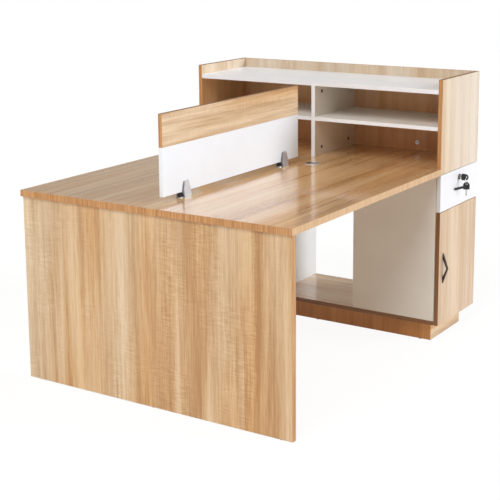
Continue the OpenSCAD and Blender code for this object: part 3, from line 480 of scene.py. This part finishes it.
# Painted shade: the warmer decor for the faces inside the compartments
warm_decor_painted_shade = wood_decor("hutch_inside_decor_painted_shade", "z", GOLD_PAINTED_SHADE, GREY_PAINTED_SHADE, 6.4, greyness=0.3, wave=0.3,
    streaky=0.5)
rear_decor = wood_decor("desk_back_decor", "z", GOLD_OAK, GREY_OAK, 6.1)


def board_split_at_shelf(node):
    """A clean copy of a board, cut across its faces where the top shelf meets it."""
    piece = node_copy(node)
    bpy.ops.object.mode_set(mode="EDIT")
    bpy.ops.mesh.select_all(action="SELECT")
    bpy.ops.mesh.bisect(plane_co=(0, 0, SHELF_TOP), plane_no=(0, 0, 1))
    bpy.ops.object.mode_set(mode="OBJECT")
    ease_edges(piece, BOARD_R)
    return piece


def inside_compartments(face):
    return facing(face) == 0 and face.normal.x * face.center.x < 0 and face.center.z < SHELF_TOP


def back_above_shelf(face):
    return facing(face) == 1 and face.center.z > SHELF_TOP and face.center.y < BACK_INSIDE


def back_from_behind(face):
    return facing(face) == 1 and face.center.y > BACK_INSIDE


hutch_sides = board_split_at_shelf("hutch_sides")
# Outer faces in the paler decor as painted light; top edges in the dark band as a painted dark reflection
cover(hutch_sides, pale_decor_painted_light, y=BAND_Z, z=DARK_REFLECTION_BAND_Y)
# Faces inside the compartments in the warmer decor as painted shade
repaint(hutch_sides, warm_decor_painted_shade, inside_compartments)
stand_in(hutch_sides, "hutch_sides")

hutch_back = board_split_at_shelf("hutch_back")
# The back's front inside the compartments in the warmer decor as painted shade
cover(hutch_back, warm_decor_painted_shade, x=BAND_Z, z=BAND_X)
# The back above the top shelf in the paler decor as painted light
repaint(hutch_back, pale_decor_painted_light, back_above_shelf)
repaint(hutch_back, rear_decor, back_from_behind)
stand_in(hutch_back, "hutch_back")


# The screen's upper board, plinth, bottom board and doors

# The screen's top edges in the dark band as a painted dark reflection
finished_board("screen_upper", BOARD_R, wood_decor("screen_decor", "y", GOLD_SCREEN, GREY_SCREEN, 7.9),
    y=BAND_Z, z=DARK_REFLECTION_BAND_Y)
# The plinth's front in the darker decor as painted shade
finished_board("plinth_boards", THIN_R, wood_decor("plinth_decor_painted_shade", "z", GOLD_PLINTH_PAINTED_SHADE, GOLD_PLINTH_PAINTED_SHADE, 8.6,
    wave=0.2, streaky=0.6), x=wood_decor("plinth_end_decor", "y", GOLD_OAK, GREY_OAK, 9.1), z=BAND_X)
# The bottom board's top in the lighter decor as painted reflection; its front edge in the dark band as
# painted shade
finished_board("bottom_board", BOARD_R, wood_decor("bottom_board_decor_painted_reflection", "x", GOLD_FLOOR_PAINTED_REFLECTION, GOLD_FLOOR_PAINTED_REFLECTION, 10.3,
    gloss=0.2, coat=1.0), x=BAND_Y, y=SHADED_BAND_X)
# Doors: faces in the paler decor as painted light, edges along y in the dark band as painted shade
for side in SIDES:
    finished_board("door_" + side, BOARD_R, wood_decor("door_decor_" + side, "z", GOLD_DOOR_PAINTED_LIGHT, GREY_DOOR_PAINTED_LIGHT, 11.7,
        wave=0.3), y=SHADED_BAND_Z, z=BAND_Y)


# Boards in white decor

# Pedestal fronts in the warm white as painted warm bounce light in shade
finished_board("pedestal_fronts", THIN_R, WHITE_PAINTED_WARM_BOUNCE)
# The screen's lower board in the cool white, painted against the worktop's warm bounce light
finished_board("screen_lower", THIN_R, SCREEN_WHITE_PAINTED_COOL)
# The top shelf in the brighter white as painted light
finished_board("top_shelf", THIN_R, WHITE_PAINTED_LIGHT)
# Divider and mid shelves: faces in the warm white as painted shade, edges along y in the brighter white as
# painted light
finished_board("hutch_divider", THIN_R, SHELF_WHITE_PAINTED_WARM_SHADE, y=WHITE_PAINTED_LIGHT)
finished_board("mid_shelves", THIN_R, SHELF_WHITE_PAINTED_WARM_SHADE, y=WHITE_PAINTED_LIGHT)
finished_board("pedestal_inner_sides", THIN_R, SIDE_WHITE)
for node in ("pedestal_backs", "drawer_decks", "lock_rails", "cupboard_shelves",
        "drawer_front_right", "drawer_front_left", "drawer_box_right", "drawer_box_left"):
    finished_board(node, THIN_R, WHITE)


# Fittings kept as the frame has them, with their own finishes

for node, material in (("screen_dowels", BEECH), ("shelf_pins", ZINC), ("drawer_bottom_right", FIBREBOARD),
        ("drawer_bottom_left", FIBREBOARD), ("key_ring_right", NICKEL), ("key_ring_left", NICKEL)):
    mesh = frame["nodes"][node].data
    mesh.materials.clear()
    mesh.materials.append(material)


# Metal and plastic fittings

def eased_fitting(node, radius, material, steps=2):
    piece = node_copy(node)
    ease_edges(piece, radius, steps)
    cover(piece, material)
    stand_in(piece, node)
    return piece


def smooth_fitting(node, material):
    """A fitting with arrises too fine to round: only its curved faces are made smooth."""
    piece = node_copy(node)
    bpy.ops.object.shade_smooth_by_angle(angle=ROUND_ANGLE)
    cover(piece, material)
    stand_in(piece, node)
    return piece


def on_clip_flank(face):
    return abs(face.normal.y) > 0.8


# The clips' faces that look along y in the darker zinc as painted shade
repaint(eased_fitting("screen_clips", 1.2 * MM, CAST, 4), CAST_FLANK_PAINTED_SHADE, on_clip_flank)
eased_fitting("angle_brackets", 0.35 * MM, ZINC)
# Grommet rings in the near-white finish as painted highlight
eased_fitting("grommet_rings", 0.5 * MM, RING_PAINTED_HIGHLIGHT, 3)
eased_fitting("glides", 0.6 * MM, BLACK_PLASTIC)
smooth_fitting("connector_cams", DARK_ZINC)
smooth_fitting("runner_cabinet_members", ZINC)
smooth_fitting("hinge_arms", NICKEL)
for side in SIDES:
    eased_fitting("grommet_cap_" + side, 0.4 * MM, CHROME, 3)
    eased_fitting("handle_" + side, 0.7 * MM, BLACK_STEEL, 3)
    eased_fitting("lock_housing_" + side, 0.3 * MM, BLACK_STEEL)
    eased_fitting("lock_plug_" + side, 0.2 * MM, NICKEL)
    smooth_fitting("runner_inner_" + side, ZINC)
    smooth_fitting("hinge_links_" + side, NICKEL)
    smooth_fitting("hinge_cups_" + side, NICKEL)


# Ball rows of the drawer runners: bright inside the middle member's lips and between them

RUNNER_Z = 637.5 * MM
RUNNER_WALLS = (418 * MM, 765 * MM)
MIDDLE_HALF = 17.05 * MM
BALL_ROW_HEIGHTS = (11.7 * MM, 15.75 * MM)
BALL_ROW_DEPTHS = (4.9 * MM, 9.6 * MM)


def on_ball_row(face):
    height = abs(face.center.z - RUNNER_Z)
    depth = min(abs(face.center.y - wall) for wall in RUNNER_WALLS)
    inner = (BALL_ROW_HEIGHTS[0] < height < BALL_ROW_HEIGHTS[1]
        and BALL_ROW_DEPTHS[0] < depth < BALL_ROW_DEPTHS[1])
    return height > MIDDLE_HALF or inner


for side in SIDES:
    repaint(smooth_fitting("runner_middle_" + side, ZINC), BALL_STEEL, on_ball_row)


# Keys: moulded bows, steel blades

KEY_R = 0.6 * MM
KEY_BOW_START = 609.5 * MM
SPARE_BOW_LOW = 636.4 * MM
LOCK_Y = 590 * MM
BLADE_HALF = 5 * MM


def on_key_blade(face):
    return abs(face.center.x) < KEY_BOW_START


def on_spare_blade(face):
    return face.center.z < SPARE_BOW_LOW and abs(face.center.y - LOCK_Y) < BLADE_HALF


for side in SIDES:
    repaint(eased_fitting("key_" + side, KEY_R, BLACK_PLASTIC, 3), NICKEL, on_key_blade)
    repaint(eased_fitting("spare_key_" + side, KEY_R, BLACK_PLASTIC, 3), NICKEL, on_spare_blade)


# Caps over the back panel's cams, each with a dimple painted grey as shade in its recess

CAP_FACE_DEPTH = 0.05 * MM
CAP_RIM = 5.2 * MM
DIMPLE_WALL = 0.4 * MM
DIMPLE_DEPTH = 0.5 * MM

caps = node_copy("cam_caps")
caps_front = min(face.center.y for face in caps.data.polygons)
pick_faces(caps, lambda face: face.center.y < caps_front + CAP_FACE_DEPTH)
bpy.ops.mesh.inset(thickness=CAP_RIM, depth=0)
bpy.ops.mesh.inset(thickness=DIMPLE_WALL, depth=-DIMPLE_DEPTH)
bpy.ops.object.mode_set(mode="OBJECT")
dimples_in_painted_shade = [face.index for face in caps.data.polygons if face.select]
cover(caps, CAST)
# The dimples painted grey as shade in the recess
repaint(caps, DIMPLE_GREY_PAINTED_SHADE, lambda face: face.index in dimples_in_painted_shade)
bpy.ops.object.shade_smooth_by_angle(angle=ROUND_ANGLE)
stand_in(caps, "cam_caps")


# Screws with a cross recess

# Shares of a head's radius and height: the dome's steps inwards and upwards, its wall, its recess
DOME_STEPS = ((0.18, 0.3), (0.22, 0.18), (0.2, 0.07))
HEAD_WALL = 0.45
HEAD_SUNK = 0.1 * MM
RECESS_REACH, RECESS_WIDTH, RECESS_FLOOR = 1.1, 0.24, 0.35
TURN_PER_SCREW = 0.9  # radians, so that no two recesses stand alike


def cut_out(piece, cutter):
    """Cuts a shape out of a piece and removes the cutter."""
    select_only(piece)
    bpy.ops.object.modifier_add(type="BOOLEAN")
    sinking = piece.modifiers[-1]
    sinking.operation = "DIFFERENCE"
    sinking.solver = "EXACT"
    sinking.object = cutter
    bpy.ops.object.modifier_apply(modifier=sinking.name)
    bpy.data.objects.remove(cutter)


def blank_cylinder(name, radius, low, high, sides=24):
    bpy.ops.object.select_all(action="DESELECT")
    bpy.ops.mesh.primitive_cylinder_add(vertices=sides, radius=radius, depth=high - low,
        location=(0, 0, (low + high) / 2))
    piece = bpy.context.object
    piece.name = name
    set_place()
    return piece


def cross_cutter(reach, width, low, high):
    """The shape of a cross recess: a square bar with an arm drawn out of each side."""
    bpy.ops.object.select_all(action="DESELECT")
    bpy.ops.mesh.primitive_cube_add(size=1, location=(0, 0, (low + high) / 2),
        scale=(width, width, high - low))
    cross = bpy.context.object
    set_place()
    pick_faces(cross, looks_level)
    bpy.ops.mesh.extrude_faces_move(TRANSFORM_OT_shrink_fatten={"value": (reach - width) / 2})
    bpy.ops.object.mode_set(mode="OBJECT")
    return cross


def screw_model(head_r, head_h, name):
    """A cross-recess screw head that stands on z = 0, domed by three insets."""
    piece = blank_cylinder(name, head_r, -HEAD_SUNK, head_h * HEAD_WALL)
    pick_faces(piece, looks_up)
    for inward, upward in DOME_STEPS:
        bpy.ops.mesh.inset(thickness=head_r * inward, depth=head_h * upward)
    bpy.ops.object.mode_set(mode="OBJECT")
    cut_out(piece, cross_cutter(head_r * RECESS_REACH, head_r * RECESS_WIDTH, head_h * RECESS_FLOOR,
        head_h * 2))
    return piece


def screw_row(name, model, spots, node):
    """Copies of a screw at its spots, as one piece of that node's body. A spot is the place in
    millimetres and the way that the head looks."""
    bpy.ops.object.select_all(action="DESELECT")
    made = []
    for number, (place, looks) in enumerate(spots):
        piece = bpy.data.objects.new(name, model.data.copy())
        bpy.context.scene.collection.objects.link(piece)
        turn = Matrix.Rotation(number * TURN_PER_SCREW, 4, "Z")
        piece.matrix_world = (Matrix.Translation(Vector(place) * MM)
            @ Vector(looks).to_track_quat("Z", "Y").to_matrix().to_4x4() @ turn)
        piece.select_set(True)
        made.append(piece)
    bpy.context.view_layer.objects.active = made[0]
    set_place()
    bpy.ops.object.join()
    row = bpy.context.object
    bpy.ops.object.shade_smooth_by_angle(angle=SCREW_ANGLE)
    cover(row, ZINC)
    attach(row, BODY_OF[node])


def on_both_sides(spots):
    """The spots and their mirror images across the desk's middle."""
    mirrored = [((-place[0], place[1], place[2]), (-looks[0], looks[1], looks[2])) for place, looks in spots]
    return list(spots) + mirrored


# Where the screws sit, in millimetres: holes are given from the middle or the corner of their fitting

UNDERSIDE = 725
END_PANEL_INSIDE, PEDESTAL_WALL, BACK_WALL = -748, 418, 765
BRACKET_T, BRACKET_HOLE = 2, 19.2
END_BRACKETS, RAIL_BRACKET = (149.25, 447.75), 100
HINGE_HEIGHTS = (174, 476.5)
PLATE_X, PLATE_FACE, PLATE_HOLE = 543, 763, 16
CUP_FACE, CUP_Y, CUP_HOLE = 581, 758.75, 22
DOOR_INSIDE, HANDLE_Y, HANDLE_Z, HANDLE_HOLE = 582, 440, 325.25, 48
RUNNER_HOLES, RUNNER_FACE, RUNNER_HEIGHT = (262, 362, 512), 11.5, 637.5


def bracket_screws(x, wall, looks):
    """An angle bracket's two screws: one in the wall, which looks along Y, and one in the worktop."""
    return [((x, wall + looks * BRACKET_T, UNDERSIDE - BRACKET_HOLE), (0, looks, 0)),
        ((x, wall + looks * BRACKET_HOLE, UNDERSIDE - BRACKET_T), (0, 0, -1))]


def hinge_screws(x, y, hole, looks):
    """The screws above and below the middle of both hinges."""
    return [((x, y, z + up * hole), looks) for z in HINGE_HEIGHTS for up in (-1, 1)]


pan_screw = screw_model(4.2 * MM, 2.4 * MM, "pan_screw_model")
small_screw = screw_model(3.4 * MM, 1.5 * MM, "small_screw_model")
flush_screw = screw_model(2.6 * MM, 0.4 * MM, "flush_screw_model")

bracket_spots = []
for x in END_BRACKETS:
    bracket_spots += bracket_screws(x, END_PANEL_INSIDE, 1)
bracket_spots += bracket_screws(RAIL_BRACKET, PEDESTAL_WALL, -1)
screw_row("bracket_screws", pan_screw, on_both_sides(bracket_spots), "angle_brackets")
plate_spots = hinge_screws(PLATE_X, PLATE_FACE, PLATE_HOLE, (0, -1, 0))
screw_row("hinge_plate_screws", small_screw, on_both_sides(plate_spots), "hinge_arms")

for side, sign in SIDES.items():
    inwards = (-sign, 0, 0)
    cup_spots = hinge_screws(sign * CUP_FACE, CUP_Y, CUP_HOLE, inwards)
    screw_row("hinge_cup_screws_" + side, flush_screw, cup_spots, "hinge_cups_" + side)
    handle_spots = [((sign * DOOR_INSIDE, HANDLE_Y, HANDLE_Z + up * HANDLE_HOLE), inwards) for up in (-1, 1)]
    screw_row("handle_screws_" + side, pan_screw, handle_spots, "hinge_cups_" + side)
    runner_spots = []
    for x in RUNNER_HOLES:
        runner_spots += [((sign * x, PEDESTAL_WALL + RUNNER_FACE, RUNNER_HEIGHT), (0, -1, 0)),
            ((sign * x, BACK_WALL - RUNNER_FACE, RUNNER_HEIGHT), (0, 1, 0))]
    screw_row("runner_screws_" + side, flush_screw, runner_spots, "runner_inner_" + side)

for model in (pan_screw, small_screw, flush_screw):
    bpy.data.objects.remove(model)


# Knurled screws that hold the screen's clips

CLIP_SCREW_YS = (-580.5 * MM, 111.5 * MM)
HEAD_LOW, HEAD_HIGH, SHANK_LOW = 753 * MM, 766 * MM, 734 * MM
GRIP_R, SHANK_R = 6.6 * MM, 3 * MM
SOCKET_R, SOCKET_DEPTH = 3.1 * MM, 6 * MM
RIDGES, RIDGES_FROM = 20, 6 * MM
RIDGE_FLANK, RIDGE_HEIGHT = 0.12 * MM, 0.4 * MM
PAST_HEAD, INTO_HEAD = 2 * MM, 0.6 * MM


def on_ridge(face):
    """Every second face round the grip, but none of the socket's."""
    turn = math.atan2(face.center.y, face.center.x) / math.tau * 2 * RIDGES
    return looks_level(face) and face.center.xy.length > RIDGES_FROM and math.floor(turn) % 2 == 0


def knurled_screw(y):
    """A round head with a milled grip and a hexagon socket, on its shank."""
    head = blank_cylinder("clip_screw", GRIP_R, HEAD_LOW, HEAD_HIGH, 2 * RIDGES)
    cut_out(head, blank_cylinder("socket", SOCKET_R, HEAD_HIGH - SOCKET_DEPTH, HEAD_HIGH + PAST_HEAD, 6))
    pick_faces(head, on_ridge)
    bpy.ops.mesh.inset(thickness=RIDGE_FLANK, depth=RIDGE_HEIGHT, use_individual=True)
    bpy.ops.object.mode_set(mode="OBJECT")
    shank = blank_cylinder("shank", SHANK_R, SHANK_LOW, HEAD_LOW + INTO_HEAD)
    select_only(head)
    shank.select_set(True)
    bpy.ops.object.join()
    head.location = (0, y, 0)
    set_place()
    bpy.ops.object.shade_smooth_by_angle(angle=SCREW_ANGLE)
    return head


clip_screws, other_screw = [knurled_screw(y) for y in CLIP_SCREW_YS]
select_only(clip_screws)
other_screw.select_set(True)
bpy.ops.object.join()
clip_screws.name = "clip_screws_knurled"
cover(clip_screws, BLACK_STEEL)
stand_in(clip_screws, "clip_screws")


# Room

def room_floor():
    """A white floor that takes the desk's shadow and shines a little where it is seen."""
    bpy.ops.object.select_all(action="DESELECT")
    bpy.ops.mesh.primitive_circle_add(vertices=64, radius=14, fill_type="NGON", location=(0, 0, 0))
    floor = bpy.context.object
    floor.name = "floor"
    paint = surface("floor_white", Base_Color=(0.9, 0.9, 0.9, 1))
    paint.feed("Roughness", 0.88 + paint.clouds(paint.point(), 3) * 0.06)
    seen = (paint.ray("Camera") + paint.ray("Glossy") + paint.ray("Transmission")).clamped()
    glow = paint.node("ShaderNodeEmission", {}, {"Color": (1, 1, 1, 1), "Strength": 1.03})
    paint.show_mixed(seen * 0.9, glow)
    floor.data.materials.append(paint.owner)


def room_sky(red, green, blue):
    """White to the camera, soft light elsewhere. Gloss mirrors a studio that is bright low down."""
    world = bpy.data.worlds.new("studio")
    bpy.context.scene.world = world
    sky = Finish(world, "Background", Color=(red, green, blue, 1), Strength=1.0)
    direction = sky.node("ShaderNodeTexCoord", {}, {}, "Generated")
    height = sky.node("ShaderNodeSeparateXYZ", {}, {0: direction}, "Z")
    low_down = sky.node("ShaderNodeMapRange", {"interpolation_type": "SMOOTHSTEP"}, {
        "Value": height, "From Min": 0.02, "From Max": 0.2, "To Min": 1.0, "To Max": 0.18}, "Result")
    white = sky.node("ShaderNodeBackground", {}, {"Color": (1, 1, 1, 1), "Strength": 1.0})
    seen = (sky.ray("Camera") + sky.ray("Glossy") * low_down + sky.ray("Transmission")).clamped()
    sky.show_mixed(seen, white)


def placed_lamp(name, kind, place, turn):
    lamp = bpy.data.lights.new(name, kind)
    holder = bpy.data.objects.new(name, lamp)
    bpy.context.scene.collection.objects.link(holder)
    holder.location = place
    holder.rotation_euler = turn.to_track_quat("Z", "Y").to_euler()
    return lamp


def studio_light(name, azimuth, height, strength, spread, colour):
    """A soft far light. Azimuth is turned from -Y towards +X, height is above the floor, both in degrees."""
    turn, rise = math.radians(azimuth), math.radians(height)
    towards = Vector((math.sin(turn) * math.cos(rise), -math.cos(turn) * math.cos(rise), math.sin(rise)))
    lamp = placed_lamp(name, "SUN", (0, 0, 0), towards)
    lamp.energy = strength * math.pi
    lamp.color = colour
    lamp.angle = math.radians(spread)


def soft_box(name, place, aim, width, height, power):
    """A near soft box that faces the point aim."""
    lamp = placed_lamp(name, "AREA", place, Vector(place) - Vector(aim))
    lamp.shape = "RECTANGLE"
    lamp.size = width
    lamp.size_y = height
    lamp.energy = power


room_floor()
room_sky(0.3, 0.247, 0.182)
soft_box("front_box", (-0.4, -3.0, 0.75), (-0.1, -0.78, 0.45), 1.8, 1.1, 6)
studio_light("side_light", 112, 20, 0.69, 24, (0.95, 1.0, 1.08))
studio_light("top_light", 5, 47, 0.56, 36, (0.98, 1.0, 1.04))


# Camera: its place, turn and lens, and the picture's row that its axis points at

PICTURE = 500
CAMERA_PLACE = Vector((2.5691, -4.06626, 1.69316))
YAW, PITCH, ROLL = math.radians(32.95), math.radians(-10.82), math.radians(-0.43)
FOCAL_PIXELS = 1207.49
CENTRE_ROW = 165.6

forward = Vector((-math.sin(YAW) * math.cos(PITCH), math.cos(YAW) * math.cos(PITCH), math.sin(PITCH)))
level_right = forward.cross(Vector((0, 0, 1))).normalized()
level_up = level_right.cross(forward)
camera_right = level_right * math.cos(ROLL) + level_up * math.sin(ROLL)
camera_up = level_up * math.cos(ROLL) - level_right * math.sin(ROLL)

lens = bpy.data.cameras.new("camera")
lens.sensor_width = 36
lens.lens = FOCAL_PIXELS / PICTURE * lens.sensor_width
lens.shift_y = (CENTRE_ROW - PICTURE / 2) / PICTURE
camera = bpy.data.objects.new("camera", lens)
bpy.context.scene.collection.objects.link(camera)
camera.matrix_world = Matrix.Translation(CAMERA_PLACE) @ Matrix((
    (camera_right.x, camera_up.x, -forward.x, 0), (camera_right.y, camera_up.y, -forward.y, 0),
    (camera_right.z, camera_up.z, -forward.z, 0), (0, 0, 0, 1)))
bpy.context.scene.camera = camera
bpy.context.scene.view_settings.view_transform = "Standard"
